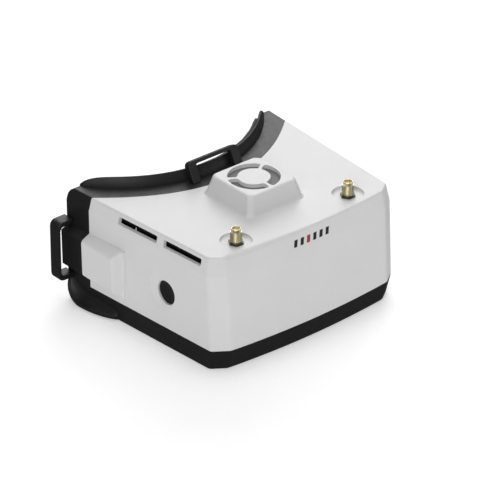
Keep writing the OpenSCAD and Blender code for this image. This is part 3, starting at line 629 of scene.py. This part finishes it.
# ---- black tray, face frame, lip and wings ----
def tray_levels():
    def level(z, extra):
        t = 1 - z / 12.4
        return lambda x, y, s: (TRAY_IN * t + extra, TRAY_LEAN * t, z)

    return [level(0.0, 0.9), level(0.12, 0.45), level(0.45, 0.14), level(1.0, 0.0), level(6.0, 0.0),
            level(12.0, 0.0), level(12.3, 0.1), level(12.4, 0.35)]


def build_tray():
    tray = loft("tray_shell", form_rings(tray_levels()))
    inner = loft("inner", form_rings([
        lambda x, y, s: (TRAY_IN * 0.8 + WALL, TRAY_LEAN * 0.8, 2.5),
        lambda x, y, s: (WALL, 0, 13.5),
    ]))
    cutters = [inner, brow_prism("brow", 0, -5, 30)]
    for x, y in ((59.8, 19.0), (64.6, 88.0)):
        for s in (-1, 1):
            cutters.append(prism("screw_hole", circle(2.7, 32, s * x, y), "z", -1, 2.0))
    cutters.append(prism("dc_hole", circle(3.2, 40, 30, 7.8), "x", 58, 72))
    cutters.append(prism("av_hole", circle(2.9, 40, 46, 7.3), "x", 58, 72))
    cutters.append(box("hdmi_hole", (58, 56.9, 4.2), (72, 69.1, 8.4)))
    combine(tray, cutters, "DIFFERENCE")
    round_edges(tray, 0.25, 2, 30)
    return finish_piece(tray, BLACK, replaces=("bottom_shell",), sharp=40)


def frame_levels(d):
    def low(z, extra=0.0):
        t = 1 - z / 12.4
        return lambda x, y, s: (d + extra + TRAY_IN * t, TRAY_LEAN * t, z)

    levels = [low(0.0, 0.9), low(0.12, 0.45), low(0.45, 0.14), low(1.0), low(6.0)]
    levels.append(lambda x, y, s: (d, 0, SPLIT_Z))
    levels.append(lambda x, y, s: (d, lean_at(35.0), 35.0))
    for t in (-0.03, 0.0, 0.03, 0.5):
        levels.append(band_level(t, d))
    for k in range(6):
        a = math.pi / 2 * k / 5
        out, drop = 0.8 * (1 - math.cos(a)), 0.8 * (1 - math.sin(a))
        levels.append(lambda x, y, s, o=out, h=drop: (d + BAND_IN - 0.2 * h + o, LEAN, TOP_Z - h))
    return levels


def build_frame():
    f = loft("face_frame_shell", form_rings(frame_levels(0)))
    # rounded upper and lower rear corners seen from the side
    rear = FRAME_REAR
    outline = [(0, -0.001), (rear - HEEL_R, -0.001)]
    quarter = [math.pi / 2 * k / 8 for k in range(9)]
    outline += [(rear - HEEL_R + HEEL_R * math.sin(a), HEEL_R - HEEL_R * math.cos(a)) for a in quarter]
    outline += [
        (rear - TEMPLE_R + TEMPLE_R * math.cos(a), TOP_Z - TEMPLE_R + TEMPLE_R * math.sin(a))
        for a in quarter
    ]
    outline += [(0, TOP_Z + 0.02)]
    combine(f, [prism("side_outline", outline, "x", -FAR, FAR)], "INTERSECT")
    lim = math.sqrt((SIDE_REAR - BROW_MID) / BROW_CURVE)
    xs = [lim * (-1 + 2 * k / 56) for k in range(57)]
    front = [(-FAR, SIDE_REAR + SEAM)] + [(x, brow_y(x) + SEAM) for x in xs]
    front += [(FAR, SIDE_REAR + SEAM), (FAR, -FAR), (-FAR, -FAR)]
    inner = loft("inner", form_rings([
        lambda x, y, s: (FRAME_WALL + TRAY_IN * 0.8, TRAY_LEAN * 0.8, 2.5),
        lambda x, y, s: (FRAME_WALL, 0, SPLIT_Z),
        lambda x, y, s: (FRAME_WALL, LEAN, BAND_Z + BAND_TILT * y),
        lambda x, y, s: (FRAME_WALL + 1.6, LEAN, TOP_Z - 2.5),
    ], 140.0))
    cutters = [prism("front", front, "z", -5, 120), inner, lip_prism("forehead", 2.6, 64.5, -3, 120)]
    cutters.append(prism("nose", circle(16, 64, 0, 88), "z", -3, 4))
    combine(f, cutters, "DIFFERENCE")
    for s in (-1, 1):
        half_block = [(69.3, 17.0), (70, 17.0), (76.1, 22.4), (76.4, 43.3), (70, 46.3), (69.3, 46.3)]
        block = prism("block", [(s * x, z) for x, z in half_block], "y", SIDE_REAR + SEAM, BLOCK_REAR)
        combine(f, [block], "UNION")
    holes = [prism("screw", circle(2.2, 28, s * 72.4, z), "y", 108, 120) for s in (-1, 1) for z in (28, 38)]
    combine(f, holes, "DIFFERENCE")
    round_edges(f, 0.4, 3, 30)
    return finish_piece(f, BLACK, replaces=("face_frame",), sharp=40)


def build_lip():
    rings = []
    n = 110
    for k in range(n + 1):
        x = 64.4 * math.sin(math.radians(80) * (-1 + 2 * k / n)) / math.sin(math.radians(80))
        r = LIP_H * (1 - min(1, abs(x) / 64.8) ** 18)
        lean = LIP_LEAN * r / LIP_H
        y = lip_y(x)
        pts = [
            (y - 0.3, -1.3), (y + 0.2 * lean, 0.35 * r), (y + lean, r),
            (y + lean + 1.9, 0.8 * r), (y + 2.2, -0.5), (y + 2.2, -1.3),
        ]
        cuts = [0, 2.0 * r / LIP_H, 0.8 * r / LIP_H, 0.8 * r / LIP_H, 0.6 * r / LIP_H, 0]
        rings.append([(x, py, TOP_Z + pz) for py, pz in rounded(pts, [max(c, 0.02) for c in cuts], 4)])
    return finish_piece(loft("forehead_lip", rings), BLACK, sharp=50)


WING_N, WING_R, WING_Y, WING_FRONT, WING_RAMP = 60, 13.5, 103.0, 78.5, 8.5


def build_wing(s):
    rings = []
    for i in range(WING_N + 1):
        u = i / WING_N
        a = math.radians(90 * min(1, u / 0.45))
        run = max(0.0, (u - 0.45) / 0.55)
        y = WING_Y + WING_R * math.cos(a) - run * (WING_Y - WING_FRONT)
        z = 1 + WING_R - WING_R * math.sin(a)
        out = half_w(min(y, FRAME_REAR)) - 0.9 + 6.9 * max(0.0, math.sin(math.pi * u)) ** 0.55
        inside = half_w(y) - 1.7
        c, n = math.cos(a), math.sin(a)
        rim = min(1.0, (out - inside) * 0.3)
        # concave ramp from the body's side out to the rim
        ramp = []
        for k in range(7):
            t = k / 6
            depth = 2.2 + (WING_RAMP - 2.2) * (1 - t) ** 2
            ramp.append((inside + (out - inside) * t, y - depth * c, z + depth * n))
        pts = [Vector(p) for p in ramp + [(out, y, z), (inside, y, z)]]
        ring = rounded(pts, [0.1] + [0.02] * 5 + [rim, rim, 0.3], 4)
        rings.append([(s * p[0], p[1], p[2]) for p in ring])
    name = "cheek_wing_" + ("right" if s > 0 else "left")
    return finish_piece(loft(name, rings), BLACK, sharp=50)


# ---- strap loops ----
def build_side_loop(s):
    h, out, t, root, mid = 18.0, 82.4, 1.9, 71.9, 32.5
    outer = [(root, h), (out, h), (out, -h), (root, -h)]
    inner = [(root, -h + 2.8), (out - t, -h + 2.8), (out - t, h - 2.8), (root, h - 2.8)]
    outline = rounded(outer + inner, [0, 4.2, 4.2, 0, 0, 2.8, 2.8, 0], 8)
    loop = prism("loop", [(s * x, z + mid) for x, z in outline], "y", 111.9, 119.5)
    round_edges(loop, 0.6, 4, 50)
    side = "right" if s > 0 else "left"
    loop.name = "side_loop_" + side
    return finish_piece(loop, BLACK, replaces=("strap_loop_" + side,), sharp=50)


def build_top_loop():
    w, h, t, lean = 17.5, 12.6, 4.4, math.radians(27)
    outline = rounded(
        [(-w, -6), (-w, h), (w, h), (w, -6),
         (w - 5.4, -6), (w - 5.4, h - 2.3), (-w + 5.4, h - 2.3), (-w + 5.4, -6)],
        [0, 3.4, 3.4, 0, 0, 1.2, 1.2, 0], 7)
    loop = prism("top_loop", outline, "y", 0, t)
    turn = Matrix.Translation((0, 75.2, TOP_Z)) @ Matrix.Rotation(-lean, 4, "X")
    loop.data.transform(turn)
    combine(loop, [box("below", (-40, 40, 40), (40, 120, TOP_Z + 0.02))], "DIFFERENCE")
    round_edges(loop, 0.7, 4, 50)
    return finish_piece(loop, BLACK, replaces=("strap_loop_top",), sharp=50)


# ---- aerial jacks ----
def build_jack(s):
    pitch, depth, r0 = 0.7056, 0.42, 3.175
    z0, z1 = 67.1, 72.7
    n, per = 56, 8
    count = round((z1 - z0) / pitch * per)
    rings = []

    def plain(r, z):
        rings.append([(x, y, z) for x, y in circle(r, n)])

    for r, z in ((2.1, 62.0), (2.9, 62.0), (2.9, 63.0), (2.9, 66.8), (3.0, 67.0)):
        plain(r, z)
    for i in range(count + 1):
        z = z0 + (z1 - z0) * i / count
        fade = min(1.0, (z - z0) / 0.5, (z1 - z) / 0.5)
        ring = []
        for k in range(n):
            phase = ((z - z0) / pitch - k / n) % 1.0
            cut = depth * fade * (1 - abs(2 * phase - 1)) ** 0.9
            r = r0 - 0.12 * (1 - fade) - cut
            ring.append((r * math.cos(2 * math.pi * k / n), r * math.sin(2 * math.pi * k / n), z))
        rings.append(ring)
    rim = ((2.78, 72.75), (2.75, 72.95), (2.75, 74.25), (2.6, 74.52), (2.4, 74.6), (2.2, 74.5), (2.1, 74.3))
    for r, z in rim:
        plain(r, z)
    placed = [[(x + s * JACK_X, y + JACK_Y, z) for x, y, z in r] for r in rings]
    jack = loft("jack", placed, caps=False, closed_path=True)
    side = "right" if s > 0 else "left"
    jack.name = "aerial_jack_" + side
    return finish_piece(jack, GOLD, replaces=("sma_jack_" + side,), sharp=60)


# ---- menu dial ----
def build_dial():
    r, ball = 6.92, 18.3
    profile = [(0, -61.65), (6.4, -61.65), (6.8, -61.7), (r, -61.9)]
    profile += [(r, -64.62), (6.8, -64.86), (6.5, -64.97)]
    centre = -65 - 17
    edge = math.sqrt(ball * ball - 17 * 17) - 0.35
    for k in range(12):
        q = edge * (1 - k / 12)
        profile.append((q, centre + math.sqrt(ball * ball - q * q)))
    profile.append((0, centre + ball))
    dial = solid_lathe("menu_dial_cap", profile, (0, DIAL_Y, DIAL_Z), "x", 96)
    return finish_piece(dial, DIAL, body="menu_dial", replaces=("menu_dial",), sharp=60)


# ---- forehead foam ----
def build_foam():
    rings = []
    n = 80
    for k in range(n + 1):
        u = -1 + 2 * k / n
        x = 56 * u
        y = lip_y(x)
        end = math.sqrt(max(0.0, 1 - abs(u) ** 26))
        pts = [(y + 2.8, 60), (y + 2.8, 66.4), (y + 5.4, 71)]
        pts += [(y + 7.8, 70.4), (y + 6.4, 65.5), (y + 5.8, 60)]
        mid_y, mid_z = y + 5.0, 65.3
        swell = 0.18 * math.sin(x * 0.55) + 0.1 * math.sin(x * 1.3 + 1)
        ring = []
        for py, pz in rounded(pts, [1.0, 1.2, 0.9, 0.9, 1.5, 1.0], 5):
            away = max(0.0, (py - mid_y) / 3)
            new_y = mid_y + (py - mid_y) * (0.25 + 0.75 * end) + swell * away * 0.6
            ring.append((x, new_y, mid_z + (pz - mid_z) * (0.4 + 0.6 * end)))
        rings.append(ring)
    foam = finish_piece(loft("brow_foam", rings), FOAM, replaces=("brow_pad",), sharp=60)
    return foam


build_shell()
build_tray()
build_frame()
build_lip()
build_wing(-1)
build_wing(1)
build_side_loop(-1)
build_side_loop(1)
build_top_loop()
build_jack(-1)
build_jack(1)
build_dial()
build_foam()

# ---- CAD nodes that stay: small edge rounding and their own finish ----
FINISH = {
    "front_badge": MARK_DARK, "badge_accent": MARK_RED,
    # the nuts' dark colour is painted shade for the shadow ring at the barrel foot
    "sma_nut_left": NUT_PAINTED_SHADE, "sma_nut_right": NUT_PAINTED_SHADE,
    "sma_insulator_left": PTFE, "sma_insulator_right": PTFE,
    "sma_socket_left": CONTACT, "sma_socket_right": CONTACT,
    "coax_left": CABLE, "coax_right": CABLE,
    "fan_frame": FAN, "fan_rotor": FAN, "fan_screen": SCREEN, "fan_screws": STEEL,
    "main_board": BOARD, "board_chips": CHIP, "board_shields": SHIELD, "board_screws": STEEL,
    "lcd_panel": DISPLAY, "lcd_frame": INNER, "display_ribbon": RIBBON,
    "optic_tunnel": INNER, "inner_shroud": INNER, "eye_lens": LENS, "lens_bezel": INNER,
    "dial_plunger": PLUNGER, "dial_encoder": ENCODER,
    "power_button": BUTTON_DARK, "record_button": BUTTON_RED,
    "button_board": BOARD, "button_switches": SHIELD, "status_led": LED,
    "io_board": BOARD, "dc_jack": JACK_BLACK, "hdmi_port": SHIELD, "av_jack": JACK_BLACK,
    "vent_liner_left": INNER, "vent_liner_right": INNER,
    "shell_screws": STEEL, "frame_screws": STEEL,
}
ROUNDED = {
    "power_button": 0.45, "record_button": 0.45, "lens_bezel": 0.3, "dc_jack": 0.15, "av_jack": 0.15,
    "hdmi_port": 0.12, "fan_frame": 0.2, "shell_screws": 0.15, "frame_screws": 0.15,
    "sma_nut_left": 0.15, "sma_nut_right": 0.15, "board_shields": 0.15, "board_chips": 0.08,
    "main_board": 0.1,
}
for node, obj in NODES.items():
    if obj.hide_render:
        continue
    finish = FINISH[node]
    if not obj.material_slots:
        obj.data.materials.append(finish)
    for slot in obj.material_slots:
        slot.link = "OBJECT"
        slot.material = finish
    if node in ROUNDED:
        m = obj.modifiers.new("round", "BEVEL")
        m.width, m.segments, m.limit_method = ROUNDED[node] * 0.001, 2, "ANGLE"
        m.angle_limit = math.radians(40)
        w = obj.modifiers.new("normals", "WEIGHTED_NORMAL")
        w.keep_sharp = True

# ---- floor, light, camera ----
stage_mat, _, stage_bsdf = material("stage_white", (0.93, 0.93, 0.93), 0.9, specular=0.0)
floor = new_object("stage_floor", [(-9, -9, 0), (9, -9, 0), (9, 9, 0), (-9, 9, 0)], [(0, 1, 2, 3)])
floor.location.z = -0.00005
stage_bsdf.inputs["Emission Color"].default_value = (1, 1, 1, 1)
stage_bsdf.inputs["Emission Strength"].default_value = 0.36
floor.data.materials.append(stage_mat)
floor.visible_glossy = False

world = bpy.data.worlds.new("studio")
bpy.context.scene.world = world
world.use_nodes = True
background = world.node_tree.nodes["Background"]
background.inputs["Color"].default_value = (1, 1, 1, 1)
background.inputs["Strength"].default_value = 0.11


def softbox(name, direction, distance, size, radiance):
    """A square area light that faces the object and shows this radiance."""
    light = bpy.data.lights.new(name, "AREA")
    light.shape, light.size = "SQUARE", size
    light.energy = radiance * math.pi * size * size
    obj = bpy.data.objects.new(name, light)
    bpy.context.scene.collection.objects.link(obj)
    d = Vector(direction).normalized()
    obj.location = Vector((0, 0, 0.035)) + d * distance
    obj.rotation_mode = "QUATERNION"
    obj.rotation_quaternion = (-d).to_track_quat("-Z", "Y")


softbox("light_top", (0.15, 0.05, 1.0), 1.5, 1.6, 1.2)
softbox("light_back_right", (0.60, 0.62, 0.52), 1.4, 1.0, 3.0)
softbox("light_front", (-0.66, -0.50, 0.52), 1.9, 0.9, 4.3)
softbox("light_low_right", (0.62, -0.74, 0.10), 1.4, 0.8, 0.9)

bpy.context.scene.view_settings.view_transform = "Standard"
bpy.context.scene.view_settings.look = "None"

AZIMUTH, ELEVATION, DISTANCE = math.radians(-40.40), math.radians(29.70), 2.03891
SENSOR_MM, LENS_MM, SHIFT_X, SHIFT_Y = 36.0, 282.90075, -0.0074375, -0.0086875
TARGET = Vector((0, -0.0032, 0.038))
level = math.cos(ELEVATION)
back = Vector((math.sin(AZIMUTH) * level, -math.cos(AZIMUTH) * level, math.sin(ELEVATION)))
camera = bpy.data.cameras.new("camera")
camera_obj = bpy.data.objects.new("camera", camera)
bpy.context.scene.collection.objects.link(camera_obj)
bpy.context.scene.camera = camera_obj
camera_obj.location = TARGET + back * DISTANCE
camera_obj.rotation_mode = "QUATERNION"
camera_obj.rotation_quaternion = (-back).to_track_quat("-Z", "Y")
camera.sensor_width, camera.lens = SENSOR_MM, LENS_MM
camera.shift_x, camera.shift_y = SHIFT_X, SHIFT_Y
camera.clip_start, camera.clip_end = 0.05, 60.0
camera.dof.use_dof = False

bpy.context.view_layer.update()
